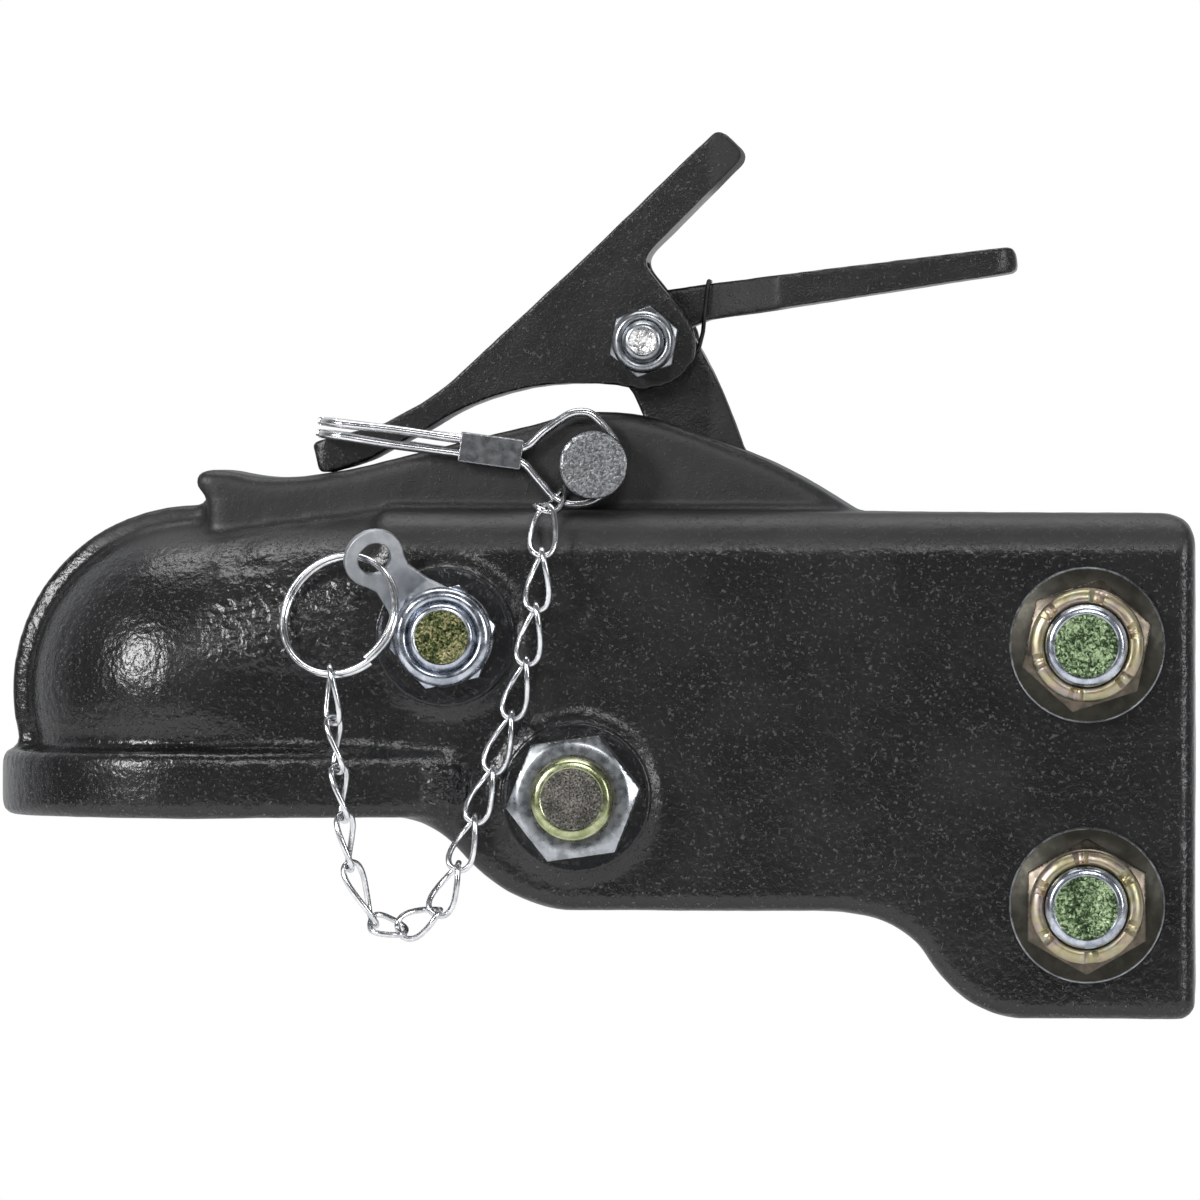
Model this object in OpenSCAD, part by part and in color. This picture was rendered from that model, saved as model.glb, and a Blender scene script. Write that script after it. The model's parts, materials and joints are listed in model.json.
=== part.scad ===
// Trailer coupling head with a lever-and-trigger latch, a ball clamp, and a safety pin on a chain.
// X runs from the ball socket to the drawbar end, Z is up, and the origin is the centre of the ball.

/* [Ball socket] */
// Diameter of the hitch ball
ball_d = 58.74; // [50:0.01:60]
// Radial room between the ball and its cup
ball_gap = 0.8; // [0.4:0.1:1.5]
// Outer radius of the domed head
dome_r = 42.5; // [40:0.5:45]
// Height of the rib round the nose of the dome
nose_rib_h = 3; // [1:0.5:4]
// Width of the rib round the nose of the dome
nose_rib_w = 22; // [14:1:30]
// Outer radius of the lip round the head
lip_r = 48.8; // [46:0.2:52]
// Drop from the ball's centre to the lip's bottom edge
lip_drop = 31; // [29:0.5:34]
// Height of the lip
lip_h = 16.4; // [12:0.2:18]
// Length from the ball's centre to the end of the lip
lip_len = 68; // [64:0.5:72]

/* [Casting] */
// Width of the casting between its flat sides
body_w = 76; // [72:1:84]
// Room inside the casting, between its side walls
cavity_w = 48; // [46:1:52]
// Height of the casting's top above the ball's centre
top_z = 44.6; // [44:0.2:48]
// Drop from the ball's centre to the belly
belly_drop = 53.8; // [52:0.2:57]
// Drop from the ball's centre to the heel at the drawbar end
heel_drop = 80; // [78:0.5:84]
// Length from the ball's centre to the rear end
rear_len = 246.7; // [244:0.5:256]
// Thickness of the top wall and of the rear wall
end_wall = 11; // [8:0.5:14]
// Rounding of the casting's edges
edge_r = 4; // [2:0.5:5]
// Rounding of the long shoulders at the top
shoulder_r = 12; // [8:0.5:13]
// Width of the latch ridge on top
ridge_w = 42; // [36:1:46]
// Height of the latch ridge above the casting's top
ridge_h = 23.8; // [20:0.2:26]

/* [Bolts] */
// Diameter of the lever bolt
lever_bolt_d = 15.88; // [14:0.01:17]
// Diameter of the clamp bolt
clamp_bolt_d = 19.05; // [18:0.01:21]
// Diameter of the two drawbar bolts
rear_bolt_d = 19.05; // [17:0.01:21]
// Distance between the two drawbar bolts
rear_bolt_gap = 63.5; // [60:0.5:66]
// Distance from the drawbar bolts to the rear end
rear_bolt_back = 26.2; // [24:0.2:28]
// Radial running room of the lever and the clamp on their bolts
run_gap = 0.08; // [0.04:0.01:0.1]
// Side room between moving pieces
side_gap = 0.4; // [0.3:0.05:0.6]

/* [Lever and trigger] */
// Thickness of the lever's plate
lever_t = 12; // [10:0.5:13]
// Length of the handle from the trigger bolt to its tip
handle_len = 94; // [80:1:110]
// Width of the handle's grip
grip_w = 24; // [18:1:26]
// Width of the trigger
trigger_w = 28; // [26:0.5:30]
// Width of the slot in the trigger for the lever and its spring
trigger_slot_w = 20; // [19:0.5:21]
// Diameter of the trigger bolt
trigger_bolt_d = 9.5; // [8:0.1:10]
// Wire thickness of the trigger spring
spring_d = 1.1; // [0.8:0.05:1.2]
// Number of turns of the trigger spring
spring_turns = 3; // [2:1:3]

/* [Ball clamp] */
// Width of the clamp's jaw
clamp_w = 40; // [34:1:44]
// Diameter of the pin that joins the clamp to the lever
drive_pin_d = 6; // [5:0.2:6.4]
// Room on each side of that pin in the lever's slot
drive_gap = 0.3; // [0.2:0.05:0.5]

/* [Safety pin and chain] */
// Diameter of the safety pin
pin_d = 9.5; // [8:0.1:10]
// Diameter of the safety pin's head
pin_head_d = 16.8; // [15:0.2:18]
// Thickness of the wire bail
bail_d = 1.5; // [1.2:0.1:1.7]
// Thickness of the chain's wire
chain_d = 1.2; // [1.1:0.05:1.5]
// Width of a chain link
link_w = 7.9; // [7:0.1:9]
// Outer diameter of the split ring
ring_d = 31.9; // [29:0.1:33]
// Thickness of the split ring's wire
ring_wire_d = 1.5; // [1.2:0.1:1.6]
// Thickness of the chain tab
tab_t = 2; // [1.6:0.1:2.4]

/* [Hidden] */
$fn = 48;

cast_black = [0.13, 0.13, 0.135];
lever_black = [0.10, 0.10, 0.105];
zinc = [0.72, 0.74, 0.77];
yellow_zinc = [0.72, 0.68, 0.46];
spring_black = [0.07, 0.07, 0.07];

// Points along an arc and along a quadratic curve
function arc(c, r, a0, a1, n = 12) =
    [for (i = [0:n]) let (a = a0 + (a1 - a0) * i / n) c + r * [cos(a), sin(a)]];
function bend(a, b, c, n = 8) =
    [for (i = [0:n]) let (t = i / n) (1 - t) * (1 - t) * a + 2 * t * (1 - t) * b + t * t * c];
function polar(c, r, a) = c + r * [cos(a), sin(a)];
function turned(v, a) = [v[0] * cos(a) - v[1] * sin(a), v[0] * sin(a) + v[1] * cos(a)];

// Places in the side view, as [x, z]
ball_r = ball_d / 2;
cup_r = ball_r + ball_gap;
lip_bottom = -lip_drop;
lip_top = lip_h - lip_drop;
belly_z = -belly_drop;
heel_z = -heel_drop;
body_half = body_w / 2;
ridge_half = ridge_w / 2;
ridge_top = top_z + ridge_h;
boss_h = 1.8;
lever_bolt_at = [63.6, 13.5];
clamp_bolt_at = [95.6, -25.8];
trigger_bolt_at = [111.3, 85.7];
safety_pin_at = [99.5, 55.4];
rear_x = rear_len;
rear_bolt_x = rear_x - rear_bolt_back;
rear_bolt_mid = -20.25;
rear_bolt_z = [rear_bolt_mid + rear_bolt_gap / 2, rear_bolt_mid - rear_bolt_gap / 2];

// The clamp and the lever are geared by one pin in a slot on the line between their bolts
between = lever_bolt_at - clamp_bolt_at;
between_len = norm(between);
between_a = atan2(between[1], between[0]);
clamp_open_a = 22.5;
lever_lift_a = 15.6;
drive_r = between_len * lever_lift_a / (lever_lift_a + clamp_open_a);
drive_at = polar(clamp_bolt_at, drive_r, between_a + clamp_open_a / 2);
drive_dir = atan2(drive_at[1] - lever_bolt_at[1], drive_at[0] - lever_bolt_at[0]);

// The seat on the ridge for the trigger's foot
seat_front = [29.5, top_z + 8.4];
seat_back = [40, top_z + 10];
seat_gap = 0.3;

// Profile extruded along Y, centred on y
module side(w, y = 0) {
    rotate([90, 0, 0])
        translate([0, 0, -w / 2 - y])
            linear_extrude(w)
                children();
}

// Cylinder along Y at a place in the side view, from y0 to y1
module rod(at, d, y0, y1) {
    translate([at[0], y1, at[1]])
        rotate([90, 0, 0])
            cylinder(d = d, h = y1 - y0);
}

// Profile extruded along Y with all its edges rounded
module rounded_side(w, r) {
    minkowski() {
        side(w - 2 * r)
            offset(delta = -r)
                children();
        sphere(r, $fn = 16);
    }
}

// Round wire swept along points, as one closed solid
function unit(v) = v / norm(v);
function path_dir(p, i) =
    unit(p[min(i + 1, len(p) - 1)] - p[max(i - 1, 0)]);
function carry(v, t) = unit(v - (v * t) * t);
function path_normals(p, i = 0, prev = undef) =
    let (t = path_dir(p, i),
         seed = abs(t[2]) < 0.8 ? [0, 0, 1] : [0, 1, 0],
         n = is_undef(prev) ? carry(seed, t) : carry(prev, t))
    i == len(p) - 1 ? [n] : concat([n], path_normals(p, i + 1, n));

module wire(p, d, sides = 8) {
    n = path_normals(p);
    pts = [for (i = [0:len(p) - 1], k = [0:sides - 1])
        let (t = path_dir(p, i), b = cross(t, n[i]), a = 360 * k / sides)
        p[i] + d / 2 * (cos(a) * n[i] + sin(a) * b)];
    last = (len(p) - 1) * sides;
    faces = concat(
        [[for (k = [0:sides - 1]) k]],
        [for (i = [0:len(p) - 2], k = [0:sides - 1])
            let (a = i * sides, m = (k + 1) % sides)
            [a + k, a + sides + k, a + sides + m, a + m]],
        [[for (k = [sides - 1:-1:0]) last + k]]);
    polyhedron(points = pts, faces = faces, convexity = 10);
}

// Closed loop of round wire, from a list of points and a list of section directions
module loop_wire(p, n, d, sides = 8) {
    count = len(p);
    pts = [for (i = [0:count - 1], k = [0:sides - 1])
        let (t = unit(p[(i + 1) % count] - p[(i + count - 1) % count]),
             m = carry(n[i], t), b = cross(t, m), a = 360 * k / sides)
        p[i] + d / 2 * (cos(a) * m + sin(a) * b)];
    faces = [for (i = [0:count - 1], k = [0:sides - 1])
        let (a = i * sides, c = ((i + 1) % count) * sides, m = (k + 1) % sides)
        [a + k, c + k, c + m, a + m]];
    polyhedron(points = pts, faces = faces, convexity = 10);
}

// Hexagon with its flats a given distance apart
module hexagon(across) {
    circle(r = across / sqrt(3), $fn = 6);
}

// Casting: head, sides, latch ridge and hollow underside
throat_x = 52;
heel_x = 158;
body_outline = concat(
    [[throat_x - 6, lip_bottom]],
    bend([throat_x, lip_bottom], [61, lip_bottom - 1], [67, (lip_bottom + belly_z) / 2 + 3]),
    bend([67, (lip_bottom + belly_z) / 2 + 3], [78, belly_z + 2], [93, belly_z]),
    bend([heel_x, belly_z], [heel_x + 15, belly_z - 0.7], [heel_x + 22, belly_z - 9]),
    bend([heel_x + 22, belly_z - 9], [heel_x + 31.5, heel_z + 1], [heel_x + 46, heel_z]),
    [[rear_x, heel_z]],
    bend([rear_x, top_z - 10], [rear_x, top_z - 1], [rear_x - 9, top_z - 1], 5),
    [[throat_x - 6, top_z]]);
ridge_outline = concat(
    [[4, top_z - 8]],
    bend([3.4, top_z + 1], [3.4, top_z + 4.4], [0.7, top_z + 5.2], 4),
    bend([0.6, top_z + 7.2], [1.5, top_z + 9.7], [5, top_z + 9.7], 4),
    bend([9, top_z + 9.4], [20, top_z + 6.6], seat_front, 6),
    [seat_back],
    [[83.4, top_z + 20.5]],
    bend([90, top_z + 22.5], [102, ridge_top + 2.2], [117, top_z + 21.4], 8),
    [[134.9, top_z + 14.8]],
    bend([142, top_z + 11.8], [152, top_z + 7], [164, top_z - 1], 5),
    [[160, top_z - 8]]);

// Plan of the lip: a round front with straight sides that close in on the casting
lip_end = [lip_len, body_half + 1.5];
lip_tangent_a = atan2(lip_end[1], lip_end[0]) + acos(lip_r / norm(lip_end));
lip_edge_r = 3;
module lip_plan() {
    side_at = polar([0, 0], lip_r, lip_tangent_a);
    circle(r = lip_r, $fn = 72);
    polygon([side_at, lip_end, [lip_end[0], -lip_end[1]], [side_at[0], -side_at[1]]]);
}

module head_loft() {
    section_x = lever_bolt_at[0] + 8;
    intersection() {
        hull() {
            sphere(dome_r, $fn = 48);
            for (s = [-1, 1]) {
                translate([section_x, s * (body_half - shoulder_r), top_z - 0.4 - shoulder_r])
                    rotate([0, 90, 0])
                        cylinder(r = shoulder_r, h = 1, $fn = 32);
                translate([section_x, s * (body_half - 1) - 1, lip_bottom])
                    cube([1, 2, 2]);
            }
        }
        translate([-dome_r, -body_w, lip_bottom + 2])
            cube([dome_r + section_x + 1, 2 * body_w, 2 * body_w]);
    }
}

module nose_rib() {
    intersection() {
        rod([0, 0], 2 * (dome_r + nose_rib_h), -nose_rib_w / 2, nose_rib_w / 2);
        translate([-2 * dome_r, -nose_rib_w, lip_bottom + 2])
            cube([2 * dome_r + 12, 2 * nose_rib_w, 3 * dome_r]);
    }
}

module sides_and_heel() {
    intersection() {
        rounded_side(body_w, edge_r)
            polygon(body_outline);
        translate([-10, 0, 0])
            rotate([90, 0, 90])
                linear_extrude(rear_x + 20)
                    shoulder_section();
    }
}

// Section of the casting with its rounded shoulders
module shoulder_section() {
    translate([-body_half, heel_z - 5])
        square([body_w, top_z - heel_z + 5 - shoulder_r]);
    translate([shoulder_r - body_half, top_z - shoulder_r - 1])
        square([body_w - 2 * shoulder_r, shoulder_r + 1]);
    for (s = [-1, 1])
        translate([s * (body_half - shoulder_r), top_z - shoulder_r])
            circle(shoulder_r);
}

// Room for the ball, the clamp and the lever
floor_web = [45, 66];
floor_web_top = lip_bottom + 4;
hub_room_top = lever_bolt_at[1] + 17;
module ball_cup() {
    sphere(cup_r, $fn = 64);
    translate([0, 0, 2 * lip_bottom])
        cylinder(r = cup_r, h = -2 * lip_bottom, $fn = 64);
}

module cavity() {
    low = heel_z - 10;
    side(cavity_w)
        polygon([
            [14, low], [14, -5], [22, 16], [46, 16], [48, hub_room_top],
            [150, hub_room_top], [150, top_z - end_wall], [rear_x - end_wall, top_z - end_wall],
            [rear_x - end_wall, low], [floor_web[1], low], [floor_web[1], floor_web_top],
            [floor_web[0], floor_web_top], [floor_web[0], low]]);
}

arm_in_r = 67;
arm_low_r = 85.3;
spoke_top_a = 25;
slot_w = lever_t + 2 * side_gap + 1.6;
slot_back_r = 20;
slot_back_a = 85;
slot_room_a = 5;
module lever_slot() {
    side(slot_w)
        polygon(concat(
            [polar(lever_bolt_at, slot_back_r, slot_back_a)],
            [polar(lever_bolt_at, arm_in_r - 1.2, spoke_top_a + lever_lift_a + slot_room_a)],
            arc(lever_bolt_at, arm_in_r - 1.2, spoke_top_a + lever_lift_a + slot_room_a, 57, 6),
            [[99.6, ridge_top + 12], [137.6, ridge_top + 12]],
            arc(lever_bolt_at, arm_low_r + 2, 32, -8, 12),
            [[lever_bolt_at[0], hub_room_top - 1]]));
}

module bolt_bosses() {
    for (z = rear_bolt_z)
        rod([rear_bolt_x, z], rear_bolt_d + 12, -cavity_w / 2 - 1, cavity_w / 2 + 1);
}

boss_r = 18.4;
module outer_bosses() {
    rod(lever_bolt_at, 2 * boss_r, -body_half - boss_h, body_half + boss_h);
    rod(clamp_bolt_at, 2 * boss_r + 2, -body_half - boss_h, body_half + boss_h);
}

module bolt_holes() {
    past = body_half + 5;
    rod(lever_bolt_at, lever_bolt_d + 2 * run_gap, -past, past);
    rod(clamp_bolt_at, clamp_bolt_d + 2 * run_gap, -past, past);
    for (z = rear_bolt_z)
        rod([rear_bolt_x, z], rear_bolt_d + 2 * run_gap, -past, past);
    rod(safety_pin_at, pin_d + 2 * run_gap, -past, past);
}

module body_casting() {
    color(cast_black)
        difference() {
            union() {
                difference() {
                    union() {
                        head_loft();
                        nose_rib();
                        sides_and_heel();
                        rounded_side(ridge_w, 2.5)
                            polygon(ridge_outline);
                        translate([0, 0, lip_bottom + lip_edge_r])
                            minkowski() {
                                linear_extrude(lip_h - 2 * lip_edge_r)
                                    offset(delta = -lip_edge_r)
                                        lip_plan();
                                sphere(lip_edge_r, $fn = 16);
                            }
                    }
                    cavity();
                    ball_cup();
                    lever_slot();
                }
                outer_bosses_clipped();
                bolt_bosses();
            }
            bolt_holes();
        }
}

// The bosses stand on the outside only
module outer_bosses_clipped() {
    difference() {
        outer_bosses();
        side(cavity_w + 4)
            square([400, 400], center = true);
    }
}

// Hex bolt along Y: head on the far side, a chamfered end on the near side
module hex_bolt(at, d, head_across, head_h, head_y, end_y, flange_d = 0) {
    bolt_chamfer = d * 0.11;
    rod(at, d, end_y + bolt_chamfer, head_y + 0.5);
    translate([at[0], end_y + bolt_chamfer, at[1]])
        rotate([90, 0, 0])
            cylinder(d1 = d, d2 = d - 2 * bolt_chamfer, h = bolt_chamfer);
    side(head_h, head_y + head_h / 2)
        translate(at)
            hexagon(head_across);
    if (flange_d > 0)
        rod(at, flange_d, head_y, head_y + 2.4);
}

// Hex nut along Y on a seat at seat_y, with a round locking collar
module lock_nut(at, hole_d, across, hex_h, seat_y, turn = 0, collar_d = 0, collar_h = 0, flange_d = 0, flange_h = 0) {
    difference() {
        union() {
            intersection() {
                side(hex_h, seat_y - flange_h / 2 - hex_h / 2)
                    translate(at)
                        rotate(turn)
                            hexagon(across);
                nut_dome(at, across, hex_h + flange_h, seat_y);
            }
            if (collar_d > 0)
                rod(at, collar_d, seat_y - flange_h / 2 - hex_h - collar_h, seat_y - hex_h / 2);
            if (flange_d > 0)
                translate([at[0], seat_y, at[1]])
                    rotate([90, 0, 0])
                        rotate_extrude()
                            polygon([[0, 0], [flange_d / 2, 0], [flange_d / 2, flange_h * 0.4],
                                [across / 2, flange_h * 1.3], [0, flange_h * 1.3]]);
        }
        rod(at, hole_d + 0.1, seat_y - 60, seat_y + 10);
    }
}

// Body of revolution that takes the corners off a nut's outer face
module nut_dome(at, across, h, seat_y) {
    corner_r = across / sqrt(3);
    translate([at[0], seat_y, at[1]])
        rotate([90, 0, 0])
            rotate_extrude()
                polygon([[0, -1], [corner_r + 1, -1], [corner_r + 1, h - (corner_r + 1 - across / 2) * 0.6],
                    [across / 2 - 0.6, h + 0.2], [0, h + 0.2]]);
}

near_boss_y = -body_half - boss_h;
far_boss_y = body_half + boss_h;
lever_nut_h = 8;
lever_collar_h = 2.5;
clamp_nut_h = 14;
flange_h = 3.4;
rear_nut_h = 10.5;
rear_collar_h = 4.5;

module lever_bolt() {
    color(yellow_zinc)
        hex_bolt(lever_bolt_at, lever_bolt_d, 23.8, 9.9, far_boss_y,
            near_boss_y - tab_t - lever_nut_h - lever_collar_h - 0.6);
}

module lever_bolt_nut() {
    color(zinc)
        lock_nut(lever_bolt_at, lever_bolt_d, 23.8, lever_nut_h, near_boss_y - tab_t, 12, 23.4, lever_collar_h);
}

module clamp_bolt() {
    color(yellow_zinc)
        hex_bolt(clamp_bolt_at, clamp_bolt_d, 28.6, 11.9, far_boss_y, near_boss_y - clamp_nut_h - 4);
}

module clamp_bolt_nut() {
    color(zinc)
        lock_nut(clamp_bolt_at, clamp_bolt_d, 28.6, clamp_nut_h, near_boss_y, 8);
}

module drawbar_bolt(z) {
    color(yellow_zinc)
        hex_bolt([rear_bolt_x, z], rear_bolt_d, 28.6, 11.9, body_half,
            -body_half - flange_h / 2 - rear_nut_h - rear_collar_h - 0.8, 38);
}

module drawbar_nut(z, turn) {
    color(yellow_zinc)
        lock_nut([rear_bolt_x, z], rear_bolt_d, 28.6, rear_nut_h, -body_half, turn,
            26.4, rear_collar_h, 38.1, flange_h);
}

module upper_drawbar_bolt() { drawbar_bolt(rear_bolt_z[0]); }
module lower_drawbar_bolt() { drawbar_bolt(rear_bolt_z[1]); }
module upper_drawbar_nut() { drawbar_nut(rear_bolt_z[0], 18); }
module lower_drawbar_nut() { drawbar_nut(rear_bolt_z[1], 6); }

// Lever: hub, slotted tail, sector arm and handle in one casting
lever_hub_r = 14.5;
lever_boss_r = 12.5;
tail_r = between_len - drive_r + 5;
trigger_hub_r = 9.7;
handle_a = 7.2;
handle_root = trigger_bolt_at + [1, 9];
function handle_at(u, v) = handle_root + turned([u, v], handle_a);
module lever_plate() {
    translate(lever_bolt_at)
        circle(lever_hub_r);
    translate(trigger_bolt_at)
        circle(trigger_hub_r);
    difference() {
        intersection() {
            translate(lever_bolt_at)
                rotate(drive_dir)
                    translate([0, -7.5])
                        square([tail_r + 5, 15]);
            translate(lever_bolt_at)
                circle(tail_r);
        }
        translate(lever_bolt_at)
            rotate(drive_dir)
                translate([lever_hub_r + 3, -drive_pin_d / 2 - drive_gap])
                    square([40, drive_pin_d + 2 * drive_gap]);
    }
    polygon(concat(
        [polar(lever_bolt_at, lever_hub_r - 1, -62 + 25)],
        [polar(lever_bolt_at, 52, -12)],
        bend(polar(lever_bolt_at, 64, -9), polar(lever_bolt_at, arm_low_r + 1, -6),
            polar(lever_bolt_at, arm_low_r, 12), 6),
        arc(lever_bolt_at, arm_low_r, 15, 33, 4),
        bend(polar(lever_bolt_at, arm_low_r + 1.6, 37), polar(lever_bolt_at, 91, 44),
            polar(lever_bolt_at, 94.5, 51), 5),
        [trigger_bolt_at + [8, 5]],
        [trigger_bolt_at + [-8, 5]],
        [[106.4, 76.6]],
        [polar(lever_bolt_at, arm_in_r + 7, 54)],
        arc(lever_bolt_at, arm_in_r, 51, spoke_top_a + 8, 6),
        bend(polar(lever_bolt_at, arm_in_r, spoke_top_a + 3),
            polar(lever_bolt_at, arm_in_r - 1, spoke_top_a),
            polar(lever_bolt_at, 48, spoke_top_a - 1), 4),
        [polar(lever_bolt_at, lever_hub_r - 1, 70)]));
}

module handle_side() {
    tip = handle_len - 3;
    polygon(concat(
        [handle_at(-6, -6), handle_at(-3, 3.2)],
        [handle_at(14, 3.6)],
        bend(handle_at(tip - 2, 3.2), handle_at(tip, 3.2), handle_at(tip, 1), 3),
        bend(handle_at(tip, -1.2), handle_at(tip, -3.2), handle_at(tip - 2, -3.2), 3),
        [handle_at(14, -5.2)],
        [handle_at(4, -8)]));
}

grip_from = 18;
module lever() {
    color(lever_black)
        difference() {
            union() {
                side(lever_t)
                    union() {
                        lever_plate();
                        handle_side();
                    }
                rod(lever_bolt_at, 2 * lever_boss_r, -cavity_w / 2 + side_gap, cavity_w / 2 - side_gap);
                intersection() {
                    side(grip_w)
                        handle_side();
                    grip_plan();
                }
            }
            rod(lever_bolt_at, lever_bolt_d + 2 * run_gap, -body_w, body_w);
            rod(trigger_bolt_at, trigger_bolt_d + 2 * run_gap, -body_w, body_w);
        }
}

// Plan of the grip, tapered out of the plate and rounded at the tip
module grip_plan() {
    from = handle_at(grip_from, 0)[0];
    to = handle_at(handle_len - 3, 0)[0] + 1;
    round_r = 7;
    translate([0, 0, trigger_bolt_at[1] - 20])
        linear_extrude(80)
            polygon(concat(
                [[from, -lever_t / 2], [from + 14, -grip_w / 2]],
                arc([to - round_r, round_r - grip_w / 2], round_r, -90, 0, 6),
                arc([to - round_r, grip_w / 2 - round_r], round_r, 0, 90, 6),
                [[from + 14, grip_w / 2], [from, lever_t / 2]]));
}

// Trigger: thumb tail, clevis round the lever, and a foot that seats on the ridge
foot_front = seat_front + [2.2, 0.34 + seat_gap];
foot_back = seat_back + [-2.4, seat_gap];
trigger_outline = concat(
    bend([127.6, 136.6], [129.2, 138.2], [130.8, 137], 4),
    bend([133.6, 134.4], [136.4, 132.2], [134.2, 129.8], 4),
    bend([113, 108.6], [110, 105.6], [113, 102.4], 4),
    bend([120.6, 93], [125, 88], [123.4, 81.6], 5),
    bend([121.4, 78.6], [117.4, 73.6], [108.6, 74.2], 5),
    bend([104, 75.2], [78, 77.8], [58.6, 65], 9),
    [[43.2, 56.9], foot_back],
    bend(foot_front + [1, 0], foot_front + [-1, -0.3], foot_front + [-1.2, 1.6], 3),
    bend([29.4, 59.4], [28.8, 61], [30.6, 61.4], 3),
    [[47, 65.7]],
    bend([56, 70.6], [62.3, 74.6], [66, 78.4], 3),
    [[94.9, 105.1]]);
module trigger() {
    color(lever_black)
        difference() {
            intersection() {
                side(trigger_w)
                    polygon(trigger_outline);
                trigger_plan();
            }
            side(trigger_slot_w)
                polygon([
                    [96, 60], [96, 92], [101, 99], [109, 105], [114, 106], [150, 112], [150, 60]]);
            rod(trigger_bolt_at, trigger_bolt_d + 2 * run_gap, -body_w, body_w);
        }
}

// Seen along its length the trigger has its long edges eased
module trigger_plan() {
    ease = 2;
    half = trigger_w / 2;
    translate([0, 0, 40])
        linear_extrude(110)
            polygon(concat(
                arc([30 + ease, ease - half], 3.4, 180, 270, 4) + [for (i = [0:4]) [0, 1.4]],
                [[150, -half], [150, half]],
                arc([30 + ease, half - ease], 3.4, 90, 180, 4) - [for (i = [0:4]) [0, 1.4]]));
}

trigger_half = trigger_w / 2;
trigger_nut_h = 6.5;
trigger_collar_h = 3;
module trigger_bolt() {
    color(zinc)
        hex_bolt(trigger_bolt_at, trigger_bolt_d, 14.3, 6, trigger_half + side_gap,
            -trigger_half - side_gap - trigger_nut_h - trigger_collar_h - 0.8);
}

module trigger_nut() {
    color(zinc)
        lock_nut(trigger_bolt_at, trigger_bolt_d, 15.4, trigger_nut_h, -trigger_half - side_gap,
            20, 15, trigger_collar_h);
}

// Torsion spring: coil on the bolt, one leg hooked over the handle, one under the trigger's bridge
coil_r = trigger_bolt_d / 2 + spring_d / 2 + 1;
coil_y = -lever_t / 2 - spring_d / 2 - 0.15;
coil_pitch = spring_d + 0.05;
spring_hook = handle_at(15, 3.6);
module trigger_spring() {
    steps = 14;
    coil = [for (i = [0:steps * spring_turns])
        let (a = -25 + 360 * i / steps * (spring_turns - 0.55) / spring_turns,
             at = polar(trigger_bolt_at, coil_r, a))
        [at[0], coil_y - coil_pitch * (spring_turns - 1) * i / (steps * spring_turns), at[1]]];
    hook_y = -lever_t / 2 - 0.9;
    hook = [
        [spring_hook[0], 3, spring_hook[1] + spring_d / 2 + 0.1],
        [spring_hook[0], hook_y + 1.2, spring_hook[1] + spring_d / 2 + 0.1],
        [spring_hook[0] - 0.1, hook_y + 0.3, spring_hook[1] + 0.2],
        [spring_hook[0] - 0.3, hook_y, spring_hook[1] - 1],
        [trigger_bolt_at[0] + 14, hook_y, trigger_bolt_at[1] + 2.5],
        [trigger_bolt_at[0] + 13, hook_y, trigger_bolt_at[1] - 1.5],
        [trigger_bolt_at[0] + 11, coil_y, trigger_bolt_at[1] - 4]];
    end = coil[len(coil) - 1];
    leg = [
        end + unit(end - coil[len(coil) - 2]) * 4,
        end + unit(end - coil[len(coil) - 2]) * 9];
    color(spring_black)
        wire(concat(hook, coil, leg), spring_d, 6);
}

// Ball clamp: jaw, full-width hub on the clamp bolt, and two ears for the drive pin
clamp_hub_r = 15;
clamp_bottom = floor_web_top + 0.3;
clamp_slot_w = lever_t + 2 * side_gap + 0.2;
ear_w = 30;
ear_r = drive_pin_d / 2 + 3.5;
hub_relief_gap = 0.6;
hub_relief_at = clamp_bolt_at + turned(between, clamp_open_a);
module clamp_arm() {
    polygon(concat(
        [[22.3, -20.3], [22, -12]],
        bend([24, -11], [40, -12.4], [60, -14], 4),
        [clamp_bolt_at + [-6, clamp_hub_r - 1.5], clamp_bolt_at + [0, clamp_hub_r]],
        [clamp_bolt_at + [0, -clamp_hub_r], clamp_bolt_at + [-9, -12]],
        [[floor_web[1] + 1, clamp_bottom], [floor_web[0] - 0.8, clamp_bottom]],
        [[floor_web[0] - 1.6, lip_bottom + 1.8], [30, lip_bottom + 1.8], [25, -25.4]]));
    translate(clamp_bolt_at)
        circle(clamp_hub_r);
}

module clamp_ears() {
    translate(drive_at)
        circle(ear_r);
    polygon([
        drive_at + polar([0, 0], ear_r, between_a + 75), drive_at + polar([0, 0], ear_r, between_a - 75),
        clamp_bolt_at + [2, clamp_hub_r - 2], clamp_bolt_at, clamp_bolt_at + [-30, 4]]);
}

module ball_clamp() {
    color(cast_black)
        difference() {
            union() {
                side(clamp_w)
                    clamp_arm();
                side(ear_w)
                    clamp_ears();
                rod(clamp_bolt_at, 2 * clamp_hub_r, -cavity_w / 2 + side_gap, cavity_w / 2 - side_gap);
            }
            sphere(ball_r + 0.3, $fn = 64);
            rod(clamp_bolt_at, clamp_bolt_d + 2 * run_gap, -body_w, body_w);
            rod(drive_at, drive_pin_d + 0.04, -body_w, body_w);
            rod(hub_relief_at, 2 * (lever_hub_r + hub_relief_gap), -body_w, body_w);
            side(clamp_slot_w)
                difference() {
                    polygon([[56, -21.5], [56, 12], [clamp_bolt_at[0] + 6, 12],
                        [clamp_bolt_at[0] + 6, -21.5]]);
                    translate(clamp_bolt_at)
                        circle(clamp_hub_r - 1.5);
                }
        }
}

module clamp_drive_pin() {
    color(zinc)
        rod(drive_at, drive_pin_d, -ear_w / 2, ear_w / 2);
}

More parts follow.
